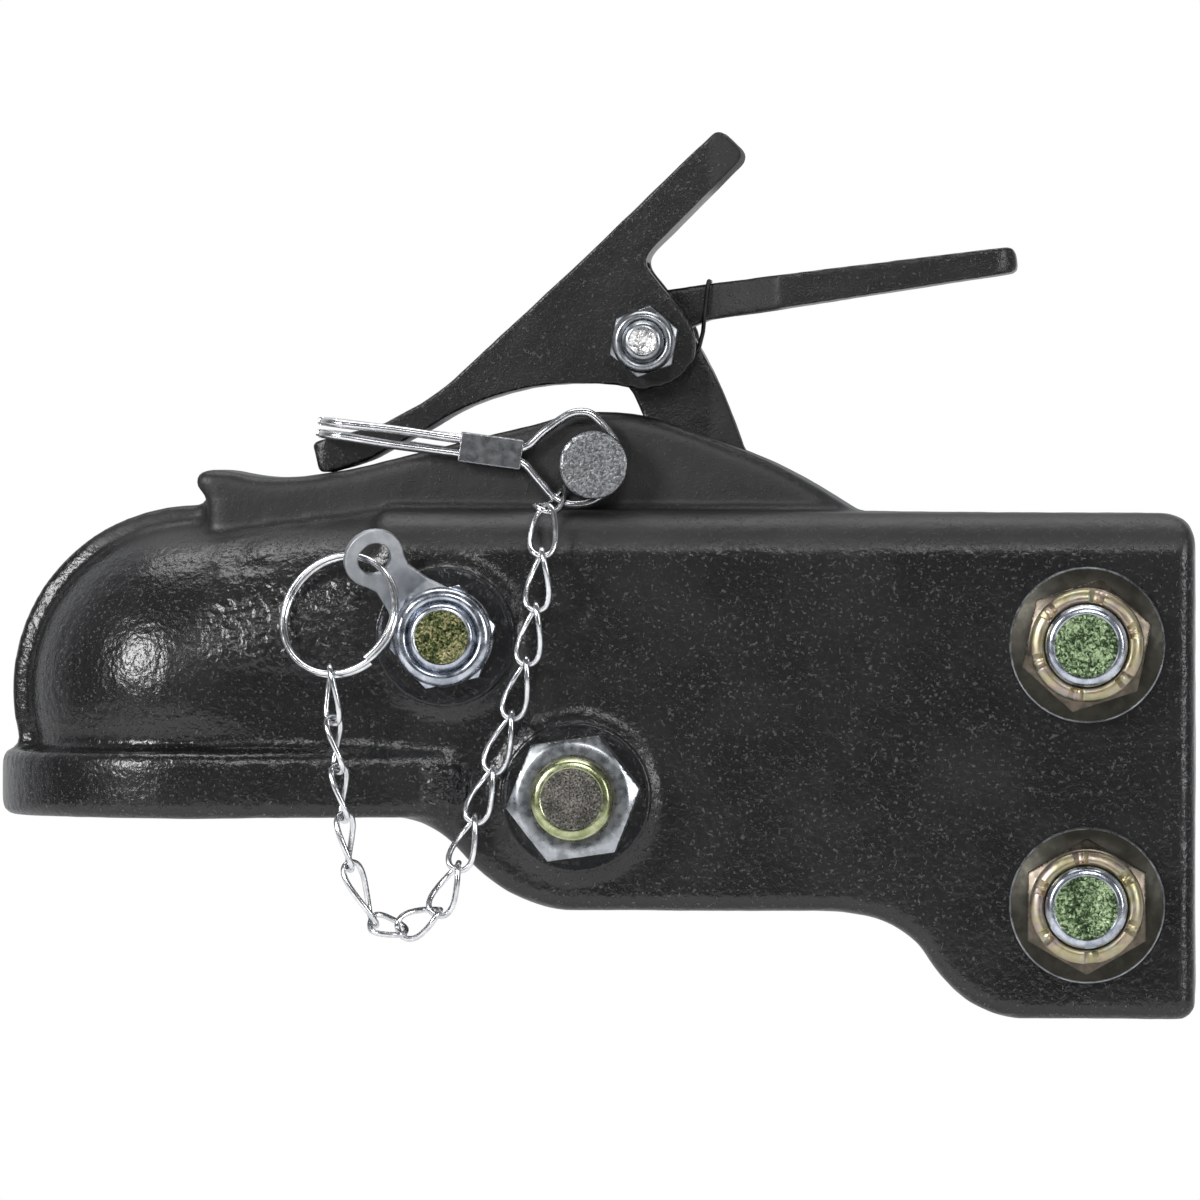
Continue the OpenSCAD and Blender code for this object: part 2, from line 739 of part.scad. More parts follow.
// Safety pin with its wire bail, which turn together in the ridge
bail_y = ridge_half + 3.6;
head_y = ridge_half + 7;
module safety_pin() {
    color(zinc)
        union() {
            rod(safety_pin_at, pin_d, -head_y - 0.5, bail_y + 4.4);
            translate([safety_pin_at[0], bail_y + 6, safety_pin_at[1]])
                rotate([90, 0, 0])
                    cylinder(d1 = pin_d - 2.4, d2 = pin_d, h = 1.7);
            rod(safety_pin_at, pin_head_d, -head_y - 4, -head_y);
            translate([safety_pin_at[0], -head_y - 4, safety_pin_at[1]])
                rotate([90, 0, 0])
                    cylinder(d1 = pin_head_d, d2 = pin_head_d - 1.2, h = 0.6);
        }
}

// The bail's points: forward from the pin, up, and across
bail_tilt = 7.8;
function bail_at(u, v, y) =
    let (q = turned([-u, 0], -bail_tilt) + turned([0, v], -bail_tilt))
    [safety_pin_at[0] + q[0], y, safety_pin_at[1] + q[1]];
bail_reach = 68.4;
strand = 1.45;
ferrule_u = [18, 33.5];
module pin_bail() {
    mid = (ferrule_u[0] + ferrule_u[1]) / 2;
    yn = -bail_y;
    spread = strand + 0.8;
    far_r = pin_d / 2 + bail_d / 2 + 0.3;
    near_loop = [
        [mid - 0.6, -spread], [ferrule_u[0], -spread], [9.4, -8.9], [6.6, -10.2], [3.6, -10.4],
        [0, -9.4], [-4, -7.4], [-6.6, -4], [-7.2, 0.4], [-6, 4.6], [-3.2, 8.4], [0.4, 11.4],
        [3.4, 12.6], [6.6, 12], [9.2, 10.4], [ferrule_u[0], spread], [mid, spread]];
    turn_n = 5;
    turn_r = 7;
    out_pts = concat(
        [[mid + 4, spread, yn], [ferrule_u[1] + 2, spread, yn], [50, strand + 0.3, yn]],
        [for (i = [0:turn_n]) let (a = 90 * i / turn_n)
            [bail_reach - turn_r + turn_r * sin(a), strand, yn + turn_r - turn_r * cos(a)]],
        [for (i = [0:turn_n]) let (a = 90 * i / turn_n)
            [bail_reach - turn_r + turn_r * cos(a), strand, -yn - turn_r + turn_r * sin(a)]],
        [[40, strand + 0.2, -yn], [18, strand + 0.8, -yn]]);
    far_loop = [for (i = [0:10]) let (a = 60 + 240 * i / 10)
        [far_r * cos(a), far_r * sin(a), -yn]];
    back_pts = [for (i = [len(out_pts) - 1:-1:0])
        [out_pts[i][0], -out_pts[i][1], out_pts[i][2]]];
    route = concat(
        [for (q = near_loop) [q[0], q[1], yn]], out_pts, far_loop, back_pts);
    color(zinc)
        wire([for (q = route) bail_at(q[0], q[1], q[2])], bail_d, 8);
}

// Crimped sleeve that joins the bail's strands
module bail_ferrule() {
    wall = 0.7;
    gap = 0.02;
    spread = strand + 0.8;
    half_h = spread + bail_d / 2 + wall;
    half_t = bail_d / 2 + wall;
    color(zinc)
        translate([safety_pin_at[0], -bail_y, safety_pin_at[1]])
            rotate([0, bail_tilt, 0])
                difference() {
                    translate([-ferrule_u[1], -half_t, -half_h])
                        cube([ferrule_u[1] - ferrule_u[0], 2 * half_t, 2 * half_h]);
                    for (s = [-1, 1])
                        translate([-ferrule_u[1] - 5, 0, s * spread])
                            rotate([0, 90, 0])
                                cylinder(d = bail_d + 2 * gap, h = 40);
                }
}

// Chain tab: flat round the lever bolt, bent outwards to its eye
eye_dir = 131.3;
eye_len = 27.3;
tab_bend_at = 13.5;
tab_bend_a = 29;
eye_r = 7.5;
eye_hole_r = 4.1;
tab_y = near_boss_y - tab_t / 2;
module tab_plan(from, to) {
    intersection() {
        difference() {
            union() {
                circle(r = 12);
                polygon([[4, -10.4], [tab_bend_at, -6.4], [20, -5.2], [eye_len, -eye_r],
                    [eye_len, eye_r], [20, 5.2], [tab_bend_at, 6.4], [4, 10.4]]);
                translate([eye_len, 0])
                    circle(r = eye_r);
            }
            circle(r = lever_bolt_d / 2 + run_gap);
            translate([eye_len, 0])
                circle(r = eye_hole_r);
        }
        translate([from, -20])
            square([to - from, 40]);
    }
}

// Places on the bent part of the tab, as [along the tab, outwards]
module on_tab() {
    translate([lever_bolt_at[0], tab_y, lever_bolt_at[1]])
        rotate([90, 0, 0])
            rotate([0, 0, eye_dir])
                children();
}

module chain_tab() {
    color(zinc)
        on_tab()
            union() {
                translate([0, 0, -tab_t / 2])
                    linear_extrude(tab_t)
                        tab_plan(-20, tab_bend_at);
                translate([tab_bend_at, 0, 0])
                    rotate([0, -tab_bend_a, 0])
                        translate([-tab_bend_at, 0, -tab_t / 2])
                            linear_extrude(tab_t)
                                tab_plan(tab_bend_at, 40);
                intersection() {
                    translate([tab_bend_at, 20, 0])
                        rotate([90, 0, 0])
                            cylinder(d = tab_t, h = 40);
                    translate([0, 0, -tab_t])
                        linear_extrude(2 * tab_t)
                            tab_plan(0, 20);
                }
            }
}

// Split ring: one wire wound twice, passed through the tab's eye
ring_mid = [38.5, -48.8, 18.84];
ring_turn = 22.37;
ring_tilt = 20.26;
module split_ring() {
    r = ring_d / 2 - ring_wire_d / 2;
    steps = 26;
    pitch = ring_wire_d + 0.12;
    coil = [for (i = [0:2 * steps - 1])
        let (a = -50 + 360 * i / steps)
        [r * cos(a), pitch * (i / steps - 1), r * sin(a)]];
    color(zinc)
        translate(ring_mid)
            rotate([-ring_tilt, 0, -ring_turn])
                wire(coil, ring_wire_d, 6);
}

// Chain: each link is one twisted loop, a quarter turn from end to end
joint_points = [
    [90.71, -23.86, 48.32], [87.87, -37.07, 44.47], [87.6, -44, 34], [86.2, -44.6, 20.8],
    [83.8, -44.8, 7.6], [80.2, -45, -5.6], [75.6, -45.2, -18.6], [71.2, -46.2, -30.8],
    [67.2, -48, -42.4], [62.4, -49.6, -53.4], [53.9, -50, -58], [47, -50.1, -56.1],
    [41.2, -51.6, -42.4], [39.8, -52, -30.4], [38.4, -52.4, -18.6], [37.2, -52.8, -6.8],
    [36.53, -53.04, 5.62]];
link_slack = 0.4;

// Section turn of each link at its first and its last end
start_turns = [93.1, 49.8, 90, 90, 90, 90, 90, 90, 90, 86, 72, 110, 110, 120, 128, 134];
end_turns = [15.2, -5.4, 0, 0, 0, 0, 0, 0, 0, -17.6, 37.4, 31.3, 40, 40, 45, 91];
function link_points(len_out, turn_a, turn_b) =
    let (half = len_out / 2 - chain_d / 2, wide = link_w / 2 - chain_d / 2, n = 22)
    [for (i = [0:n - 1])
        let (a = 360 * i / n,
             u = half * sign(cos(a)) * pow(abs(cos(a)), 0.62),
             v = wide * sign(sin(a)) * pow(abs(sin(a)), 0.8),
             twist = turn_a + (turn_b - turn_a) * (u + half) / (2 * half))
        [u, v * cos(twist), v * sin(twist)]];

module chain_link(i) {
    a = joint_points[i - 1];
    b = joint_points[i];
    along = unit(b - a);
    len_out = norm(b - a) + 2 * chain_d + link_slack;
    across = unit(cross(along, [0, 1, 0]));
    up = cross(along, across);
    mid = (a + b) / 2;
    flat = link_points(len_out, start_turns[i - 1], end_turns[i - 1]);
    pts = [for (q = flat) mid + q[0] * along + q[1] * across + q[2] * up];
    normals = [for (q = flat) unit(q[0] * along * 0.02 + q[1] * across + q[2] * up + 0.001 * along)];
    color(zinc)
        loop_wire(pts, normals, chain_d, 6);
}

body_casting();
lever_bolt();
lever_bolt_nut();
clamp_bolt();
clamp_bolt_nut();
upper_drawbar_bolt();
upper_drawbar_nut();
lower_drawbar_bolt();
lower_drawbar_nut();
lever();
trigger();
trigger_bolt();
trigger_nut();
trigger_spring();
ball_clamp();
clamp_drive_pin();
safety_pin();
pin_bail();
bail_ferrule();
chain_tab();
split_ring();
for (i = [1:16])
    chain_link(i);
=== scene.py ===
"""The looks of the trailer coupling head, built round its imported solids.

Lengths in the helpers are in millimetres of the part's own frame: X from the ball to the drawbar,
Z up, and the photographed side at -Y. A side-view place is an (x, z) pair.
"""

import math

import bmesh
import bpy
import numpy as np
from mathutils import Matrix, Vector, noise
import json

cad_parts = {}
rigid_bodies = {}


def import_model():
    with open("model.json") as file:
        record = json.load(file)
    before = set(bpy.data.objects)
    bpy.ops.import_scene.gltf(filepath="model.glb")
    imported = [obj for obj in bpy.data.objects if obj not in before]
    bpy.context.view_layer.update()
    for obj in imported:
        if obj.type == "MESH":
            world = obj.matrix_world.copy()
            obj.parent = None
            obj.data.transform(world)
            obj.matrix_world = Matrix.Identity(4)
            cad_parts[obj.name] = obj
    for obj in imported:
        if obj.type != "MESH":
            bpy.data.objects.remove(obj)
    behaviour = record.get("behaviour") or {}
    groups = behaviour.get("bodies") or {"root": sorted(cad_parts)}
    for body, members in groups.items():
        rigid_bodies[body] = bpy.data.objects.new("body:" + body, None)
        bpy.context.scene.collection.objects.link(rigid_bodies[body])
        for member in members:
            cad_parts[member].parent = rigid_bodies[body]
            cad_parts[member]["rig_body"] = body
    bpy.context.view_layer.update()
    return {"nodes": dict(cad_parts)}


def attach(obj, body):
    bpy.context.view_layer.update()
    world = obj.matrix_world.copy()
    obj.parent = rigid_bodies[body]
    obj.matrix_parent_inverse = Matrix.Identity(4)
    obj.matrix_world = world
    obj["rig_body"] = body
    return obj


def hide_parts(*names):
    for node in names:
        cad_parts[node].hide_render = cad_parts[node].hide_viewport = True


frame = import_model()

MM = 0.001

# Places in the side view that the part's source states too
LEVER_BOLT = (63.6, 13.5)
CLAMP_BOLT = (95.6, -25.8)
TRIGGER_BOLT = (111.3, 85.7)
SAFETY_PIN = (99.5, 55.4)
DRAWBAR_BOLTS = {"upper": (220.5, 11.5), "lower": (220.5, -52.0)}
SIDE_FACE = -38.0
BOSS_FACE = -39.8

# Rough patches of the casting in the side view: the saddle behind the dome, and the lip's end.
# The skin's lumps centre on "at" and fade over "reach". The coat's grain starts, is full, fades
# and ends at the four places along "x" and along "z".
SADDLE = {"at": (12.0, 28.0), "reach": (10.0, 12.0), "x": (2.0, 10.0, 40.0, 48.0), "z": (3.0, 9.0, 26.0, 31.0)}
LIP_END = {
    "at": (62.0, -21.0), "reach": (6.0, 6.0), "x": (57.0, 60.0, 68.0, 71.0), "z": (-30.0, -27.0, -20.0, -17.0),
}
SMOOTH_TOP = (33.0, 38.0)
HANDLE_TAPER = (126.0, 130.0, 142.0, 146.0)


# ---------------------------------------------------------------- materials


class Value:
    """A number, colour or vector that changes over a surface, with the sums that the finishes need."""

    def __init__(self, finish, socket):
        self.finish = finish
        self.socket = socket

    def __add__(self, other):
        return self.finish.math("ADD", self, other)

    def __rsub__(self, other):
        return self.finish.math("SUBTRACT", other, self)

    def __mul__(self, other):
        return self.finish.math("MULTIPLY", self, other)


class Finish:
    """One material: node() adds any node, and the methods after it build the ones used most."""

    def __init__(self, name):
        self.material = bpy.data.materials.new(name)
        self.material.use_nodes = True
        self.tree = self.material.node_tree
        self.tree.nodes.clear()
        self.place = self.node("ShaderNodeTexCoord", {}, {}, "Object")

    def node(self, kind, settings, inputs, output=0):
        """Adds a node with its settings and inputs, and gives the output of that name or place.

        An input is a Value that is linked to it, or a constant.
        """
        made = self.tree.nodes.new(kind)
        for key, value in settings.items():
            if key == "stops":
                ramp = made.color_ramp
                while len(ramp.elements) < len(value):
                    ramp.elements.new(0.5)
                for element, (at, colour) in zip(ramp.elements, value):
                    element.position = at
                    element.color = (*colour, 1.0)
            else:
                setattr(made, key, value)
        for key, value in inputs.items():
            socket = made.inputs[key] if isinstance(key, int) else self.named(made.inputs, key)
            if isinstance(value, Value):
                self.tree.links.new(value.socket, socket)
            elif socket.type == "RGBA":
                socket.default_value = (*value, 1.0)
            else:
                socket.default_value = value
        if isinstance(output, int):
            return Value(self, made.outputs[output]) if made.outputs else made
        return Value(self, self.named(made.outputs, output))

    @staticmethod
    def named(sockets, name):
        """The socket of that name that is in use: a Mix node has one for every data type."""
        return next(s for s in sockets if s.name == name and s.enabled)

    def math(self, operation, *values):
        return self.node("ShaderNodeMath", {"operation": operation}, dict(enumerate(values)))

    def mix(self, factor, first, second):
        """The first colour where factor is 0, and the second where it is 1."""
        inputs = {"Factor": factor, "A": first, "B": second}
        return self.node("ShaderNodeMix", {"data_type": "RGBA"}, inputs, "Result")

    def ramp(self, value, *stops):
        """Colours along value, each stop as (place, colour)."""
        return self.node("ShaderNodeValToRGB", {"stops": stops}, {"Fac": value}, "Color")

    def between(self, value, low, high, to_low=0.0, to_high=1.0):
        """value carried from low..high to to_low..to_high, held at the ends."""
        return self.node(
            "ShaderNodeMapRange",
            {"interpolation_type": "SMOOTHSTEP"},
            {"Value": value, "From Min": low, "From Max": high, "To Min": to_low, "To Max": to_high},
        )

    def coordinate(self, axis):
        """Distance along "X", "Y" or "Z" from the part's origin."""
        return self.node("ShaderNodeSeparateXYZ", {}, {"Vector": self.place}, axis)

    def window(self, axis, limits):
        """1 between the two inner limits along an axis and 0 outside the outer two, in millimetres."""
        value = self.coordinate(axis)
        start, full, fade, end = (limit * MM for limit in limits)
        return self.between(value, start, full) * self.between(value, end, fade)

    def patch(self, place):
        """1 inside a rough patch and 0 outside it."""
        return self.window("X", place["x"]) * self.window("Z", place["z"])

    def cloud(self, size_mm, detail=2.0, roughness=0.5, distortion=0.0):
        """Soft noise whose lumps are about size_mm across."""
        return self.node(
            "ShaderNodeTexNoise",
            {},
            {
                "Vector": self.place,
                "Scale": 1.0 / (size_mm * MM),
                "Detail": detail,
                "Roughness": roughness,
                "Distortion": distortion,
            },
            "Fac",
        )

    def bump(self, height, depth_mm):
        """Normals of a relief in which a height of 1 stands for depth_mm."""
        inputs = {"Height": height, "Strength": 1.0, "Distance": depth_mm * MM}
        return self.node("ShaderNodeBump", {}, inputs, "Normal")

    def finish(self, fixed, **varying):
        """Ends in one Principled shader. fixed holds the sockets that are the same all over."""
        inputs = dict(fixed)
        for key, value in varying.items():
            inputs[key.replace("_", " ")] = value
        shader = self.node("ShaderNodeBsdfPrincipled", {}, inputs, "BSDF")
        self.node("ShaderNodeOutputMaterial", {}, {"Surface": shader})
        return self.material


def powder_coated_casting():
    """Black powder coat over sand-cast iron: orange peel with small pimples that catch the lamps; their glints are
    also painted as lighter grey in the colour.

    The top faces are smoother, and the saddle behind the dome and the lip's end are rougher.
    """
    f = Finish("powder_coated_casting")
    patches = f.cloud(24.0, 2.0, 0.5)
    peel = f.cloud(1.7, 2.0, 0.5, 0.2)
    fine = f.cloud(0.5, 2.0, 0.6)
    high = f.between(f.coordinate("Z"), *(limit * MM for limit in SMOOTH_TOP))
    pimples = f.between(f.cloud(0.8, 1.0), 0.62, 0.69) * (1.0 - high * 0.85)
    height = peel * (0.5 - high * 0.32) + fine * 0.08 + pimples * 0.85 + f.cloud(5.0, 2.0) * 0.2
    height = height + f.cloud(2.4, 1.5, 0.4, 0.3) * (f.patch(SADDLE) * 1.5 + f.patch(LIP_END) * 2.6)
    colour = f.mix(f.between(patches, 0.35, 0.7), (0.0055, 0.0055, 0.006), (0.0078, 0.0078, 0.0083))
    # painted highlight: the pimples are lightened towards grey in the colour, standing in for the glints they catch
    colour = f.mix(pimples * 0.5, colour, (0.11, 0.11, 0.115))
    return f.finish(
        {"Metallic": 0.0, "Specular IOR Level": 0.6, "IOR": 1.5},
        Base_Color=colour,
        Roughness=f.between(patches, 0.3, 0.75, 0.25, 0.31) + high * 0.22,
        Normal=f.bump(height, 0.5),
    )


def lever_coating():
    """The levers' black coat: a fine even grain with sparse pimples, duller where the handle widens; the pimples'
    glints are painted as lighter grey in the colour.
    """
    f = Finish("lever_coating")
    fine = f.cloud(0.6, 2.0, 0.6)
    soft = f.cloud(14.0, 2.0)
    pimples = f.between(f.cloud(0.85, 1.5), 0.62, 0.70)
    taper = f.window("X", HANDLE_TAPER)
    # painted highlight: the pimples are lightened towards grey in the colour, standing in for the glints they catch
    colour = f.mix(pimples * 0.6, (0.0075, 0.0075, 0.008), (0.09, 0.09, 0.093))
    return f.finish(
        {"Metallic": 0.0, "Specular IOR Level": 0.55, "IOR": 1.5},
        Base_Color=colour,
        Roughness=f.between(soft, 0.3, 0.7, 0.3, 0.36) + taper * 0.3,
        Normal=f.bump(fine * 0.35 + pimples * 0.7 + f.cloud(2.2, 2.0) * 0.35, 0.36),
    )


def plated(
    name, dark, light, rough_low, rough_high,
    spots=0.0, spot_colour=(0.2, 0.19, 0.17), grain_mm=0.02, cloud_mm=3.0,
):
    """Zinc plate: brightness in clouds from dark to light, faint grain, and spots of another colour."""
    f = Finish(name)
    cloudy = f.cloud(cloud_mm, 4.0, 0.55, 0.2)
    fine = f.cloud(0.6, 3.0)
    colour = f.mix(f.between(cloudy, 0.35, 0.65), dark, light)
    if spots:
        colour = f.mix(f.between(f.cloud(2.2, 3.0, 0.6), 0.6, 0.72) * spots, colour, spot_colour)
    return f.finish(
        {"Metallic": 1.0, "Specular IOR Level": 0.5},
        Base_Color=colour,
        Roughness=f.between(f.cloud(2.0, 3.0), 0.3, 0.7, rough_low, rough_high),
        Normal=f.bump(fine * 0.6 + cloudy, grain_mm),
    )


def rainbow_zinc():
    """Yellow chromate over zinc: gold that drifts to green and rose."""
    f = Finish("rainbow_zinc")
    drift = f.cloud(7.0, 3.0, 0.55, 1.2)
    film = f.ramp(
        drift,
        (0.30, (0.30, 0.33, 0.24)),
        (0.42, (0.42, 0.37, 0.21)),
        (0.52, (0.47, 0.41, 0.28)),
        (0.60, (0.41, 0.31, 0.27)),
        (0.72, (0.32, 0.35, 0.32)),
    )
    pale = f.mix(f.between(f.cloud(3.0, 3.0), 0.45, 0.7) * 0.5, film, (0.46, 0.455, 0.41))
    return f.finish(
        {"Metallic": 1.0, "Specular IOR Level": 0.5},
        Base_Color=pale,
        Roughness=f.between(f.cloud(1.8, 3.0), 0.3, 0.7, 0.32, 0.46),
        Normal=f.bump(f.cloud(0.7, 3.0) * 0.6 + f.cloud(3.0, 2.0), 0.03),
    )


def foil_end(name, dark, mid, light, size_mm=1.1):
    """Sheared bolt end under chromate: crumpled like foil, from dark to light."""
    f = Finish(name)
    drift = f.cloud(6.0, 2.0)
    flakes = f.cloud(size_mm, 2.0, 0.6, 0.8)
    colour = f.ramp(flakes * 0.7 + drift * 0.3, (0.42, dark), (0.50, mid), (0.60, light))
    return f.finish(
        {"Metallic": 1.0, "Specular IOR Level": 0.5},
        Base_Color=colour,
        Roughness=f.between(flakes, 0.3, 0.7, 0.26, 0.4),
        Normal=f.bump(flakes, 0.9),
    )


CASTING = powder_coated_casting()
LEVERS = lever_coating()
CLEAR_ZINC = plated("clear_zinc", (0.25, 0.265, 0.28), (0.45, 0.47, 0.50), 0.24, 0.36, 0.12)
WIRE_ZINC = plated("wire_zinc", (0.62, 0.63, 0.65), (0.86, 0.87, 0.89), 0.16, 0.26)
TAB_ZINC = plated("tab_zinc", (0.35, 0.365, 0.385), (0.44, 0.455, 0.475), 0.46, 0.56, 0.1)
FERRULE_ZINC = plated("ferrule_zinc", (0.27, 0.28, 0.295), (0.34, 0.35, 0.365), 0.26, 0.34)
RAINBOW = rainbow_zinc()
HEX_OLIVE = plated(
    "olive_hexagon", (0.085, 0.075, 0.060), (0.15, 0.125, 0.10), 0.26, 0.38, 0.4, (0.30, 0.16, 0.15)
)
BOLT_GREEN = foil_end("green_bolt_end", (0.03, 0.045, 0.025), (0.10, 0.16, 0.075), (0.42, 0.54, 0.32), 0.8)
BOLT_GOLD = foil_end("gold_bolt_end", (0.02, 0.03, 0.012), (0.10, 0.13, 0.045), (0.50, 0.44, 0.25), 0.6)
BOLT_BROWN = foil_end("brown_bolt_end", (0.07, 0.068, 0.062), (0.17, 0.16, 0.145), (0.42, 0.40, 0.37), 0.45)
BLUE_ZINC = plated("blue_zinc", (0.33, 0.36, 0.42), (0.60, 0.64, 0.71), 0.18, 0.30, 0.1)
PIN_ZINC = plated("pin_zinc", (0.13, 0.135, 0.14), (0.34, 0.35, 0.36), 0.3, 0.42, grain_mm=0.12, cloud_mm=0.6)
PALE_END = foil_end("pale_bolt_end", (0.26, 0.26, 0.26), (0.66, 0.66, 0.66), (0.95, 0.95, 0.94), 1.4)
GREEN_RIM = plated("green_rim", (0.30, 0.34, 0.17), (0.52, 0.55, 0.34), 0.2, 0.32)
# painted reflection: the flange's zinc gets a near-black colour that stands in for the dark surroundings its satin
# face mirrors
FLANGE_PAINTED_DARK = plated(
    "flange_painted_dark_reflection", (0.030, 0.029, 0.024), (0.044, 0.042, 0.035), 0.40, 0.48, 0.2, (0.08, 0.06, 0.05)
)
BLACK_WIRE = plated("black_wire", (0.03, 0.03, 0.03), (0.05, 0.05, 0.05), 0.35, 0.5)


# ---------------------------------------------------------------- meshes


def wear(node, material):
    """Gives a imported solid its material."""
    node.data.materials.clear()
    node.data.materials.append(material)
    for face in node.data.polygons:
        face.material_index = 0


def make(name, points, faces, material, body, sharp_deg):
    """A new piece from points in millimetres, which rides on a body."""
    mesh = bpy.data.meshes.new(name)
    mesh.from_pydata([Vector(p) * MM for p in points], [], faces)
    mesh.validate()
    piece = bpy.data.objects.new(name, mesh)
    bpy.context.scene.collection.objects.link(piece)
    mesh.materials.append(material)
    tidy_normals(mesh)
    mesh.shade_smooth()
    mesh.set_sharp_from_angle(angle=math.radians(sharp_deg))
    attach(piece, body)
    return piece


def tidy_normals(mesh):
    """Joins points at one place and turns all faces outwards."""
    bm = bmesh.new()
    bm.from_mesh(mesh)
    bmesh.ops.remove_doubles(bm, verts=bm.verts, dist=1e-7)
    bmesh.ops.recalc_face_normals(bm, faces=bm.faces)
    bm.to_mesh(mesh)
    bm.free()


def cast_copy(node_name, voxel_mm, smooth_rounds, material, shape=None):
    """A softened copy of a packed casting: evenly remeshed, eased, and lumpy as sand casting is."""
    mesh = frame["nodes"][node_name].data.copy()
    piece = bpy.data.objects.new(node_name + "_skin", mesh)
    bpy.context.scene.collection.objects.link(piece)
    tidy_normals(mesh)
    remesh = piece.modifiers.new("even", "REMESH")
    remesh.mode = "VOXEL"
    remesh.voxel_size = voxel_mm * MM
    ease = piece.modifiers.new("ease", "SMOOTH")
    ease.factor = 0.5
    ease.iterations = smooth_rounds
    bpy.context.view_layer.update()
    done = bpy.data.meshes.new_from_object(piece.evaluated_get(bpy.context.evaluated_depsgraph_get()))
    piece.modifiers.clear()
    piece.data = done
    done.materials.clear()
    done.materials.append(material)
    if shape is not None:
        move_along_normals(done, shape)
    done.shade_smooth()
    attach(piece, frame["nodes"][node_name]["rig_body"])
    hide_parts(node_name)
    return piece


def move_along_normals(mesh, height_mm):
    """Moves each point along its normal by height_mm(place in mm)."""
    count = len(mesh.vertices)
    co = np.zeros(count * 3)
    mesh.vertices.foreach_get("co", co)
    co = co.reshape(-1, 3)
    normals = np.array([v.normal for v in mesh.vertices], float).reshape(-1, 3)
    lift = np.array([height_mm(p) for p in co / MM])
    mesh.vertices.foreach_set("co", (co + normals * (lift * MM)[:, None]).ravel())
    mesh.update()


def lumps(p, size, seed=0.0):
    """Signed soft noise at a place, about -1 to 1."""
    return noise.noise(Vector((p[0] / size + seed, p[1] / size, p[2] / size)))


def nearness(p, patch):
    """1 at the middle of a rough patch, falling softly to 0 round it."""
    (x, z), (reach_x, reach_z) = patch["at"], patch["reach"]
    return math.exp(-(((p[0] - x) / reach_x) ** 2 + ((p[2] - z) / reach_z) ** 2))


def casting_lumps(p):
    """Sand-cast unevenness of the body, stronger in its rough patches and none in its hollow."""
    hollow_half_width, hollow_top = 25, 40
    if abs(p[1]) < hollow_half_width and p[2] < hollow_top:
        return 0.0
    lift = 0.10 * lumps(p, 9.0) + 0.07 * lumps(p, 3.6, 7.0) + 0.16 * lumps(p, 30.0, 3.0)
    lift += 0.55 * nearness(p, SADDLE) * lumps(p, 5.0, 11.0)
    lift += 0.5 * nearness(p, LIP_END) * lumps(p, 3.2, 5.0)
    return lift


def lever_lumps(p):
    """Fainter unevenness of the lever and the trigger."""
    return 0.10 * lumps(p, 8.0, 2.0) + 0.05 * lumps(p, 3.0, 4.0)


def lean_arm_back(mesh):
    """Leans the lever arm's front edge back between the ridge and the trigger."""
    lean = 4.4
    foot, top, front, back = 50.0, 74.5, 96.0, 124.0
    foot_fade, top_fade, back_fade = 8.0, 7.0, 14.0
    for v in mesh.vertices:
        x, z = v.co.x / MM, v.co.z / MM
        if foot < z < top and front < x < back:
            share = min(1.0, (z - foot) / foot_fade) * min(1.0, (top - z) / top_fade)
            v.co.x += lean * MM * share * min(1.0, (back - x) / back_fade)


cast_copy("body_casting", 1.4, 4, CASTING, casting_lumps)
lean_arm_back(cast_copy("lever", 0.7, 1, LEVERS, lever_lumps).data)
cast_copy("trigger", 0.7, 1, LEVERS, lever_lumps)
cast_copy("chain_tab", 0.34, 3, TAB_ZINC)
cast_copy("bail_ferrule", 0.22, 3, FERRULE_ZINC)


# ---------------------------------------------------------------- nuts and bolt ends


def around(name, at, seat_y, rings, body, material, steps=180, press=None, sharp_deg=32):
    """A closed piece lathed along Y. Each ring is (radius, height off the seat).

    A radius may be a function of the angle. press(angle, radius, height) gives how far a point sinks.
    """
    points, faces = [], []
    for radius, height in rings:
        for k in range(steps):
            a = 2 * math.pi * k / steps
            r = radius(a) if callable(radius) else radius
            h = height - (press(a, r, height) if press else 0.0)
            points.append((at[0] + r * math.cos(a), seat_y - h, at[1] + r * math.sin(a)))
    for i in range(len(rings) - 1):
        for k in range(steps):
            m = (k + 1) % steps
            faces.append((i * steps + k, i * steps + m, (i + 1) * steps + m, (i + 1) * steps + k))
    if rings[0][0] == rings[-1][0] and rings[0][1] == rings[-1][1]:
        points = points[: -steps]
        faces = [tuple(v % len(points) for v in face) for face in faces]
    else:
        faces.append(tuple(range(steps - 1, -1, -1)))
        faces.append(tuple((len(rings) - 1) * steps + k for k in range(steps)))
    return make(name, points, faces, material, body, sharp_deg)


def hexagon(across, turn_deg, cap=math.inf):
    """Radius of a hexagon at an angle, held inside a circle of radius cap. across is between its flats."""

    def radius(a):
        part = math.radians((math.degrees(a) - turn_deg) % 60 - 30)
        return min(across / 2 / math.cos(part), cap)

    return radius


def hex_rings(across, turn_deg, low, high, face_r, bottom_chamfer=0.5):
    """Rings of a hexagonal body from low to high with a turned chamfer down to face_r."""
    corner = across / math.sqrt(3)
    slope = math.tan(math.radians(28))
    foot_cut = 0.9
    rings = [
        (hexagon(across, turn_deg, corner - foot_cut), low),
        (hexagon(across, turn_deg), low + bottom_chamfer),
    ]
    count = 9
    for i in range(count + 1):
        cap = corner - (corner - face_r) * i / count
        rings.append((hexagon(across, turn_deg, cap), high - (cap - face_r) * slope))
    return rings


def dome_arc(r0, h0, r1, h1, bulge, count=7):
    """Rings on an arc from (r0, h0) to (r1, h1) that bulges outwards by bulge."""
    rings = []
    length = math.hypot(r1 - r0, h1 - h0)
    side = ((h1 - h0) / length, -(r1 - r0) / length)
    for i in range(1, count + 1):
        t = i / count
        lift = 4 * t * (1 - t) * bulge
        rings.append((r0 + (r1 - r0) * t + side[0] * lift, h0 + (h1 - h0) * t + side[1] * lift))
    return rings


